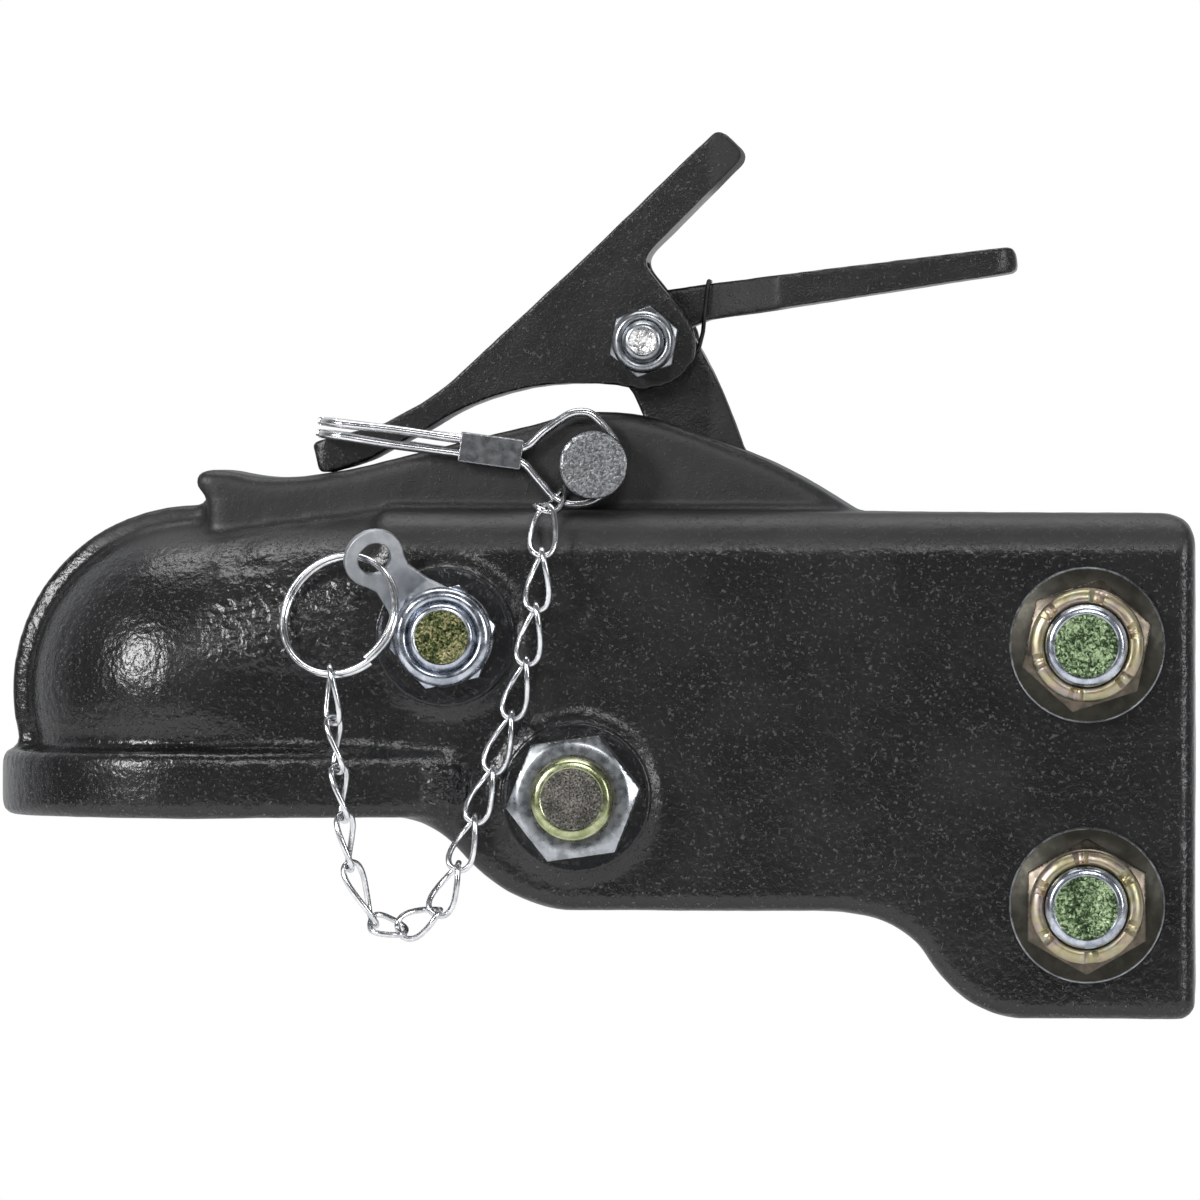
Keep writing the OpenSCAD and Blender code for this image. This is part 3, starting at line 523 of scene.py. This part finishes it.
def staked(turn_deg, depth, half_deg, from_r, to_r, min_height):
    """Six marks punched across a collar's shoulder, each with a low ridge along its middle."""

    def press(a, r, h):
        if h < min_height or not from_r < r < to_r:
            return 0.0
        off = abs((math.degrees(a) - turn_deg + 30) % 60 - 30)
        ridge = 0.35 * max(0.0, 1 - off / (half_deg * 0.3))
        return depth * max(0.0, max(0.0, 1 - off / half_deg) ** 0.7 - ridge)

    return press


def bolt_end(name, at, face_y, r, body, rim, face_material, dish=0.25, rim_w=1.45):
    """Turned point of a bolt: a bright rim, and a sheared face inside it."""
    inner = r - rim_w
    edge_depth = 0.12
    around(
        name + "_rim", at, face_y,
        [(r + 0.4, -2.4), (r + 0.4, -1.45), (r - 0.05, -0.75), (r - 0.35, -0.3), (r - 0.8, 0.0),
         (inner + 0.3, 0.06), (inner + 0.05, -0.1), (inner - 0.15, -1.6)],
        body, rim, 96,
    )
    rows = [(inner, -1.2)]
    for i in range(9):
        depth = edge_depth + dish * (0.2 + 0.8 * math.sin(math.pi * i / 18))
        rows.append((inner * (1 - i / 9), -depth))
    rows.append((0.08, -edge_depth - dish))

    def uneven(a, rr, h):
        if h < -1.1:
            return 0.0
        return 0.16 * lumps((rr * math.cos(a), at[0], rr * math.sin(a)), 2.1, at[1])

    around(name + "_face", at, face_y, rows, body, face_material, 72, uneven, 60)


# The 3/4 inch lock nuts' hexagon across its flats, and the bolts' radii
LARGE_HEX = 28.6
LARGE_BOLT_R = 9.58
LEVER_BOLT_R = 7.98
TRIGGER_BOLT_R = 4.78

# From the face under each nut to the end of its bolt
CLAMP_REACH = 18.45
LEVER_REACH = 11.75
DRAWBAR_REACH = 18.1
TRIGGER_REACH = 11.0

# Clamp nut: thick hexagon with a satin face
around(
    "clamp_nut_dressed", CLAMP_BOLT, BOSS_FACE,
    [(9.6, 0.0)] + hex_rings(LARGE_HEX, 8.0, 0.0, 13.6, 13.7)
    + [(13.2, 13.75), (12.2, 13.85), (10.6, 13.85), (10.0, 13.7), (9.75, 13.2), (9.6, 12.6), (9.6, 0.0)],
    "housing", CLEAR_ZINC,
)
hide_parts("clamp_bolt_nut")
bolt_end(
    "clamp_bolt_end", CLAMP_BOLT, BOSS_FACE - CLAMP_REACH, LARGE_BOLT_R, "housing", GREEN_RIM, BOLT_BROWN,
    dish=0.1, rim_w=2.1,
)

# Lever nut: hexagon under a wide rolled collar, on the chain tab
TAB_THICKNESS = 2.0
LEVER_SEAT = BOSS_FACE - TAB_THICKNESS
around(
    "lever_nut_dressed", LEVER_BOLT, LEVER_SEAT,
    [(8.0, 0.0)] + hex_rings(23.0, 12.0, 0.0, 7.7, 12.4)
    + [(12.2, 7.8), (12.0, 8.2)] + dome_arc(12.0, 8.2, 10.4, 10.5, 0.5, 6)
    + dome_arc(10.4, 10.5, 8.7, 10.0, 0.25, 4) + [(8.35, 9.4), (8.1, 8.8), (8.0, 0.0)],
    "housing", BLUE_ZINC,
)
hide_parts("lever_bolt_nut")
bolt_end(
    "lever_bolt_end", LEVER_BOLT, LEVER_SEAT - LEVER_REACH, LEVER_BOLT_R, "housing", BLUE_ZINC, BOLT_GOLD,
    dish=0.35,
)

# Drawbar nuts: wide flange with a bright rim, hexagon, and a staked rolled collar; the flange's near-black colour
# is a painted dark reflection of its surroundings
for place, turn, stakes in (("upper", 18.0, 78.0), ("lower", 30.0, 96.0)):
    at = DRAWBAR_BOLTS[place]
    around(
        place + "_drawbar_nut_flange", at, SIDE_FACE,
        [(9.6, 0.0), (18.6, 0.0), (19.0, 0.3), (19.0, 1.3), (18.75, 1.7), (17.4, 2.3), (16.2, 2.9), (14.0, 3.5),
         (9.6, 3.5), (9.6, 0.0)],
        "housing", FLANGE_PAINTED_DARK,
    )
    around(
        place + "_drawbar_nut_flange_rim", at, SIDE_FACE,
        [(18.6, 0.3), (19.0, 0.3), (19.08, 1.2), (18.95, 1.65), (18.7, 1.85), (18.5, 1.8), (18.6, 0.3)],
        "housing", CLEAR_ZINC,
    )
    around(
        place + "_drawbar_nut_hexagon", at, SIDE_FACE,
        [(9.6, 3.0)] + hex_rings(LARGE_HEX, turn, 3.0, 13.2, 13.9, 0.2) + [(9.6, 13.2), (9.6, 3.0)],
        "housing", HEX_OLIVE, 240,
    )
    around(
        place + "_drawbar_nut_dressed", at, SIDE_FACE,
        [(9.7, 12.6), (13.75, 12.6), (13.75, 13.3)] + dome_arc(13.7, 13.3, 11.9, 16.2, 0.8, 10)
        + dome_arc(11.9, 16.2, 10.3, 15.6, 0.3, 5) + [(9.9, 14.8), (9.7, 14.0), (9.7, 12.6)],
        "housing", RAINBOW, 288, staked(stakes, 1.9, 8.5, 10.8, 14.2, 13.4),
    )
    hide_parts(place + "_drawbar_nut")
    bolt_end(
        place + "_drawbar_bolt_end", at, SIDE_FACE - DRAWBAR_REACH, LARGE_BOLT_R, "housing", BLUE_ZINC, BOLT_GREEN,
        dish=0.3, rim_w=1.9,
    )

# Trigger nut: small hexagon with a rolled collar
TRIGGER_SEAT = -14.4
around(
    "trigger_nut_dressed", TRIGGER_BOLT, TRIGGER_SEAT,
    [(4.9, 0.0)] + hex_rings(15.4, 20.0, 0.0, 6.2, 7.9, 0.3)
    + [(7.75, 6.3), (7.7, 6.8)] + dome_arc(7.7, 6.8, 6.6, 9.3, 0.45, 6) + dome_arc(6.6, 9.3, 5.3, 8.9, 0.2, 4)
    + [(5.0, 8.2), (4.9, 7.6), (4.9, 0.0)],
    "lever", CLEAR_ZINC, 144,
)
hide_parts("trigger_nut")
bolt_end(
    "trigger_bolt_end", TRIGGER_BOLT, TRIGGER_SEAT - TRIGGER_REACH, TRIGGER_BOLT_R, "lever", CLEAR_ZINC, PALE_END,
    dish=0.5,
)


def cast_boss(a, r, h):
    """Faint lumps on a boss."""
    return 0.16 * lumps((r * math.cos(a), h, r * math.sin(a)), 3.1, 1.0) if h > 0 else 0.0


# Rims of the bosses that the clamp nut and the chain tab sit on
for name, at, flat_r, foot_r in (
    ("lever_boss_rim", LEVER_BOLT, 16.2, 19.2),
    ("clamp_boss_rim", CLAMP_BOLT, 17.4, 20.7),
):
    around(
        name, at, SIDE_FACE,
        [(9.0, -1.0), (9.0, 1.75), (flat_r - 0.9, 1.75), (flat_r - 0.35, 1.86), (flat_r, 2.1), (flat_r + 0.45, 2.2),
         (flat_r + 0.9, 1.9), (flat_r + 1.4, 1.2), (foot_r - 0.9, 0.62), (foot_r - 0.4, 0.5), (foot_r, 0.2),
         (foot_r + 0.5, -0.2), (foot_r + 0.5, -1.0), (9.0, -1.0)],
        "housing", CASTING, 160, cast_boss, 60,
    )


def blasted_head(a, r, h):
    """Fine lumps on the flat of the pin's head."""
    head_flat_height, head_flat_r = 31.9, 7.4
    if h <= head_flat_height or r >= head_flat_r:
        return 0.0
    return 0.05 * lumps((r * math.cos(a), 0.0, r * math.sin(a)), 1.1, 4.0)


# Safety pin: turned shank with a chamfered, bead-blasted head
pin = around(
    "safety_pin_dressed", SAFETY_PIN, 0.0,
    [(3.4, -30.6), (3.55, -30.5), (4.7, -29.1), (4.75, -28.8), (4.75, 28.2), (4.75, 27.9), (8.1, 28.0), (8.4, 28.3),
     (8.4, 31.2), (8.22, 31.7), (7.8, 32.0), (7.3, 32.05), (5.0, 32.0), (2.5, 31.97), (0.2, 31.95)],
    "pin", PIN_ZINC, 128, blasted_head, 30,
)
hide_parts("safety_pin")


# ---------------------------------------------------------------- wires, ring and chain


def smooth_route(points, per_span):
    """Catmull-Rom route through points, with per_span steps from one to the next."""
    pts = [Vector(p) for p in points]
    pts = [pts[0] * 2 - pts[1]] + pts + [pts[-1] * 2 - pts[-2]]
    route = []
    for p0, p1, p2, p3 in zip(pts, pts[1:], pts[2:], pts[3:]):
        for k in range(per_span):
            t = k / per_span
            route.append(
                0.5 * ((2 * p1) + (p2 - p0) * t + (2 * p0 - 5 * p1 + 4 * p2 - p3) * t * t
                       + (3 * p1 - p0 - 3 * p2 + p3) * t * t * t)
            )
    route.append(pts[-2])
    return route


def wire(name, route, diameter, body, material, sides=12, closed=False):
    """Round wire along a route, with its section carried without twist."""
    count = len(route)
    points, faces = [], []
    normal = None
    for i, p in enumerate(route):
        ahead = route[(i + 1) % count] if closed else route[min(i + 1, count - 1)]
        behind = route[i - 1] if closed or i > 0 else route[0]
        along = (ahead - behind).normalized()
        if normal is None:
            normal = along.orthogonal().normalized()
        normal = (normal - along * normal.dot(along)).normalized()
        side = along.cross(normal)
        for k in range(sides):
            a = 2 * math.pi * k / sides
            points.append(p + (normal * math.cos(a) + side * math.sin(a)) * (diameter / 2))
    shift = 0
    if closed:
        first = points[0] - route[0]
        along = (route[1] - route[-1]).normalized()
        carried = (normal - along * normal.dot(along)).normalized()
        angle = math.atan2(along.cross(carried).dot(first), carried.dot(first))
        shift = round(angle / (2 * math.pi) * sides)
    for i in range(count if closed else count - 1):
        last = closed and i == count - 1
        for k in range(sides):
            m = (k + 1) % sides
            n = (i + 1) % count
            a, b = (k - shift) % sides if last else k, (m - shift) % sides if last else m
            faces.append((i * sides + k, i * sides + m, n * sides + b, n * sides + a))
    if not closed:
        faces.append(tuple(range(sides - 1, -1, -1)))
        faces.append(tuple((count - 1) * sides + k for k in range(sides)))
    return make(name, points, faces, material, body, 60)


def bail_route():
    """The wire bail: a loop round the pin's neck, two strands to the front, across, and round the pin's tip.

    Places are (u, v, y): u from the pin to the front along the strands, v up from them, and y across the part.
    """
    strand, spread, side_y, reach, bend_r, tip_r = 1.55, 1.75, 24.6, 68.4, 7.0, 5.8
    ferrule_start, ferrule_end = 18.0, 33.5
    mid = (ferrule_start + ferrule_end) / 2
    tilt = math.radians(-7.8)

    def at(u, v, y):
        x, z = -u * math.cos(tilt) - v * math.sin(tilt), -u * math.sin(tilt) + v * math.cos(tilt)
        return (SAFETY_PIN[0] + x, y, SAFETY_PIN[1] + z)

    near = [
        (mid - 0.6, -spread), (ferrule_start, -spread), (13.8, -5.0), (9.4, -8.9), (6.6, -10.2), (3.6, -10.4),
        (0, -9.4), (-3.2, -6.9), (-5.4, -3.8), (-6.1, 0.4), (-5.2, 4.6), (-2.6, 8.2), (0.8, 11.2), (3.4, 12.4),
        (6.6, 12), (9.2, 10.4), (13.6, 6.3), (ferrule_start, spread), (mid, spread),
    ]
    out = [(mid + 4, spread, -side_y), (ferrule_end + 2, spread, -side_y), (50, strand + 0.3, -side_y)]
    bend = [math.radians(18 * i) for i in range(6)]
    out += [(reach - bend_r + bend_r * math.sin(a), strand, -side_y + bend_r - bend_r * math.cos(a)) for a in bend]
    out += [(reach - bend_r + bend_r * math.cos(a), strand, side_y - bend_r + bend_r * math.sin(a)) for a in bend]
    out += [(40, strand + 0.2, side_y), (18, strand + 0.8, side_y)]
    tip = [math.radians(60 + 24 * i) for i in range(11)]
    far = [(tip_r * math.cos(a), tip_r * math.sin(a), side_y) for a in tip]
    back = [(u, -v, y) for u, v, y in reversed(out)]
    return [at(*p) for p in [(u, v, -side_y) for u, v in near] + out + far + back]


BAIL_WIRE = 2.15
bail = wire("bail_wire", smooth_route(bail_route(), 4), BAIL_WIRE, "pin", WIRE_ZINC)
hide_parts("pin_bail")


RING_WIRE = 1.5


def ring_route():
    """Two close turns, leaning back at the top so that they pass through the tab's eye."""
    across, pitch, start_deg = 31.9, 1.62, -50
    middle = Vector((38.5, -48.8, 18.84))
    r = (across - RING_WIRE) / 2
    lean = Matrix.Rotation(math.radians(-22.37), 3, "Z") @ Matrix.Rotation(math.radians(-20.26), 3, "X")
    turns, steps = 2, 52
    route = []
    for i in range(turns * steps + 1):
        turned = i / steps
        a = math.radians(start_deg + 360 * turned)
        route.append(middle + lean @ Vector((r * math.cos(a), pitch * (turned - 1), r * math.sin(a))))
    return route


ring = wire("split_ring_wire", ring_route(), RING_WIRE, "housing", WIRE_ZINC)
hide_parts("split_ring")

# The chain hangs from the bail's lower strand, past the clamp nut, and up to the split ring
CHAIN_JOINTS = [
    (90.71, -23.86, 48.32), (87.87, -37.07, 44.47), (87.6, -44, 34), (86.2, -44.6, 20.8),
    (83.8, -44.8, 7.6), (80.2, -45, -5.6), (75.6, -45.2, -18.6), (71.2, -46.2, -30.8),
    (67.2, -48, -42.4), (62.4, -49.6, -53.4), (53.9, -50, -58), (47, -50.1, -56.1),
    (41.2, -51.6, -42.4), (39.8, -52, -30.4), (38.4, -52.4, -18.6), (37.2, -52.8, -6.8),
    (36.53, -53.04, 5.62),
]
# How far each link is turned about its own length at its start and at its end, in degrees
START_TURNS = [93.1, 49.8, 90, 90, 90, 90, 90, 90, 90, 86, 72, 110, 110, 120, 128, 134]
END_TURNS = [15.2, -5.4, 0, 0, 0, 0, 0, 0, 0, -17.6, 37.4, 31.3, 40, 40, 45, 91]
CHAIN_WIRE = 1.45
LINK_WIDTH = 8.0


def link_route(a, b, start_deg, end_deg):
    """One loop between two joints, twisted from one end to the other.

    Powers under 1 make it fuller than an oval: end_power at its ends, and side_power along its sides.
    """
    end_power, side_power = 0.62, 0.8
    slack = 0.15
    count = 56
    a, b = Vector(a), Vector(b)
    along = (b - a).normalized()
    half = (b - a).length / 2 + CHAIN_WIRE / 2 + slack
    wide = LINK_WIDTH / 2 - CHAIN_WIRE / 2
    across = along.cross(Vector((0, 1, 0))).normalized()
    up = along.cross(across)
    route = []
    for i in range(count):
        t = 2 * math.pi * i / count
        u = half * math.copysign(abs(math.cos(t)) ** end_power, math.cos(t))
        v = wide * math.copysign(abs(math.sin(t)) ** side_power, math.sin(t))
        twist = math.radians(start_deg + (end_deg - start_deg) * (u + half) / (2 * half))
        route.append((a + b) / 2 + along * u + across * v * math.cos(twist) + up * v * math.sin(twist))
    return route


for i in range(len(START_TURNS)):
    route = link_route(CHAIN_JOINTS[i], CHAIN_JOINTS[i + 1], START_TURNS[i], END_TURNS[i])
    link = wire("chain_loop_%d" % (i + 1), route, CHAIN_WIRE, "housing", WIRE_ZINC, 10, closed=True)
    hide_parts("chain_link_%d" % (i + 1))


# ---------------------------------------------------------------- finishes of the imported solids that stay

for name, material in (
    ("ball_clamp", CASTING),
    ("lever_bolt", RAINBOW),
    ("clamp_bolt", RAINBOW),
    ("upper_drawbar_bolt", RAINBOW),
    ("lower_drawbar_bolt", RAINBOW),
    ("trigger_bolt", CLEAR_ZINC),
    ("clamp_drive_pin", CLEAR_ZINC),
    ("trigger_spring", BLACK_WIRE),
):
    wear(frame["nodes"][name], material)


# ---------------------------------------------------------------- studio


def room(scene):
    """What metal and coat reflect: bright behind the part and below it, dim in front.

    The camera itself sees plain white there.
    """
    world = bpy.data.worlds.new("room")
    scene.world = world
    world.use_nodes = True
    tree = world.node_tree
    tree.nodes.clear()

    def node(kind, inputs, operation=None):
        """Adds a node with its inputs, and gives its first output."""
        made = tree.nodes.new(kind)
        if operation:
            made.operation = operation
        for key, value in inputs.items():
            if isinstance(value, bpy.types.NodeSocket):
                tree.links.new(value, made.inputs[key])
            else:
                made.inputs[key].default_value = value
        return made.outputs[0] if made.outputs else None

    def graded(value, low, high, to_low, to_high):
        """value carried evenly from low..high to to_low..to_high, held at the ends."""
        limits = {"From Min": low, "From Max": high, "To Min": to_low, "To Max": to_high}
        return node("ShaderNodeMapRange", {"Value": value, **limits})

    direction = tree.nodes.new("ShaderNodeTexCoord").outputs["Generated"]
    split = tree.nodes.new("ShaderNodeSeparateXYZ")
    tree.links.new(direction, split.inputs[0])
    behind = graded(split.outputs["Y"], -0.15, 0.75, 0.1, 0.85)
    below = graded(split.outputs["Z"], -0.2, -0.8, 0.0, 0.35)
    level = node("ShaderNodeMath", {0: behind, 1: below}, "MAXIMUM")
    lit = node("ShaderNodeBackground", {"Color": (0.96, 0.98, 1.0, 1.0), "Strength": level})
    plain = node("ShaderNodeBackground", {"Color": (1.0, 1.0, 1.0, 1.0), "Strength": 1.0})
    seen = tree.nodes.new("ShaderNodeLightPath").outputs["Is Camera Ray"]
    blend = node("ShaderNodeMixShader", {0: seen, 1: lit, 2: plain})
    node("ShaderNodeOutputWorld", {"Surface": blend})


PHOTO_PIXELS = 1200
PHOTO_SCALE = 0.2475
SENSOR = 36.0


def studio():
    """The photograph's view, the room, and four soft lamps, of which the strongest is at the upper left."""
    scene = bpy.context.scene
    scene.view_settings.view_transform = "Standard"

    aim = Vector((99.5, 0.0, 22.0)) * MM
    distance = 3.0
    yaw = math.radians(3.0)
    rise = math.radians(0.6)
    away = Vector((math.sin(yaw) * math.cos(rise), -math.cos(yaw) * math.cos(rise), math.sin(rise)))
    eye = aim + distance * away
    camera_data = bpy.data.cameras.new("camera")
    camera_data.sensor_width = SENSOR
    camera_data.lens = SENSOR * distance / (PHOTO_PIXELS * PHOTO_SCALE * MM)
    camera_data.clip_end = 20.0
    camera = bpy.data.objects.new("camera", camera_data)
    scene.collection.objects.link(camera)
    camera.location = eye
    camera.rotation_euler = (aim - eye).to_track_quat("-Z", "Y").to_euler()
    scene.camera = camera

    room(scene)

    for label, place, width, height, watts in (
        ("left_softbox", (-1.05, -1.35, 0.62), 0.5, 0.62, 26.0),
        ("front_softbox", (0.35, -1.7, 0.95), 0.5, 0.35, 6.6),
        ("overhead_softbox", (0.10, 0.15, 1.5), 1.3, 0.5, 11.0),
        ("right_softbox", (1.45, -1.1, 0.35), 0.35, 0.8, 9.0),
    ):
        lamp_data = bpy.data.lights.new(label, "AREA")
        lamp_data.shape = "RECTANGLE"
        lamp_data.size = width
        lamp_data.size_y = height
        lamp_data.energy = watts
        lamp = bpy.data.objects.new(label, lamp_data)
        scene.collection.objects.link(lamp)
        lamp.location = place
        lamp.rotation_euler = (aim - Vector(place)).to_track_quat("-Z", "Y").to_euler()


def floor():
    """Plain pale floor, well under the part."""
    radius, middle_x, level, sides = 1300, 100, -300, 64
    points = []
    for k in range(sides):
        a = math.tau * k / sides
        points.append((middle_x + radius * math.cos(a), radius * math.sin(a), level))
    mesh = bpy.data.meshes.new("floor")
    mesh.from_pydata([Vector(p) * MM for p in points], [], [tuple(range(sides))])
    disc = bpy.data.objects.new("floor", mesh)
    bpy.context.scene.collection.objects.link(disc)
    f = Finish("pale_floor")
    mesh.materials.append(
        f.finish(
            {"Metallic": 0.0, "Specular IOR Level": 0.2},
            Base_Color=f.mix(f.cloud(400.0), (0.86, 0.86, 0.86), (0.9, 0.9, 0.9)),
            Roughness=f.between(f.cloud(300.0), 0.3, 0.7, 0.7, 0.8),
        )
    )


studio()
floor()

bpy.context.view_layer.update()
